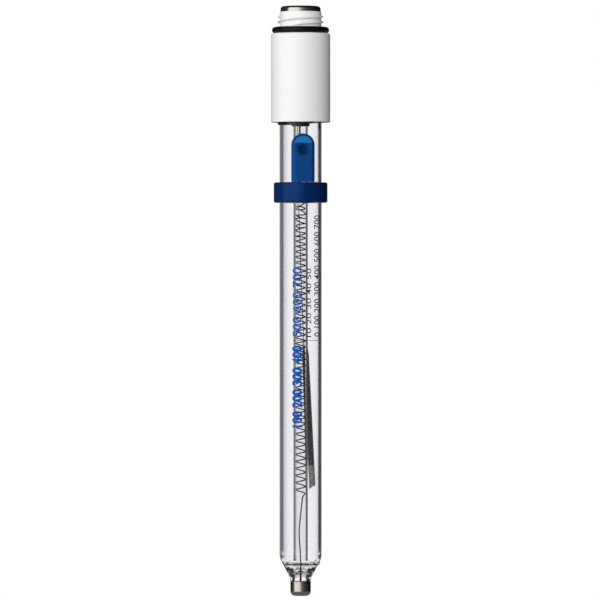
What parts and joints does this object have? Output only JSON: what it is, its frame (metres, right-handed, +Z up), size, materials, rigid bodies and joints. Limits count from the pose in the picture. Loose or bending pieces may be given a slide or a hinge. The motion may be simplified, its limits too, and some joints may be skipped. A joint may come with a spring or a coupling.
{
  "type": "redox electrode",
  "caption": "Combined redox electrode: clear double-walled glass shaft, platinum tip, coiled inner lead, reference cartridge, blue refill closure and white threaded plug head.",
  "frame": {"origin": "centre of the platinum tip's underside, on the shaft's axis", "axes": "+Z up the shaft towards the plug head, -Y towards the refill hole and its flap"},
  "size_m": [0.017, 0.017, 0.1689],
  "materials": {
    "platinum": "polished",
    "clear_glass": "clear",
    "porous_ceramic": "unglazed",
    "blue_silicone": "satin",
    "white_plastic": "fine satin",
    "black_rubber": "satin",
    "plated_metal": "polished",
    "insulator_plastic": "satin",
    "gold_contact": "polished",
    "black_sealant": "gloss",
    "casting_resin": "satin",
    "black_insulation": "satin",
    "solder": "dull",
    "platinum_wire": "drawn",
    "glass_wool": "fibrous",
    "silver_chloride": "granular",
    "silver_wire": "drawn"
  },
  "bodies": {
    "shaft_and_head": {"platinum_tip": "platinum", "glass_body": "clear_glass", "ceramic_junction": "porous_ceramic", "sleeve_band": "blue_silicone", "sensor_head": "white_plastic", "ring_seal": "black_rubber", "contact_ring": "plated_metal", "contact_insulator": "insulator_plastic", "centre_contact": "gold_contact", "tube_stopper": "black_rubber", "seal_bead": "black_sealant", "head_potting": "casting_resin", "insulated_lead": "black_insulation", "lead_joint": "solder", "coiled_wire": "platinum_wire", "cartridge_tube": "clear_glass", "cartridge_plug": "glass_wool", "silver_chloride_fill": "silver_chloride", "reference_lead": "silver_wire"},
    "flap": {"refill_flap": "blue_silicone"}
  },
  "joints": [
    {"name": "refill_flap_hinge", "type": "hinge", "parent": "shaft_and_head", "child": "flap", "pos_m": [0, -0.00688, 0.11903], "axis": [1, 0, 0], "range_deg": [0, 90], "stiffness_Nm_per_rad": 0.0002}
  ]
}
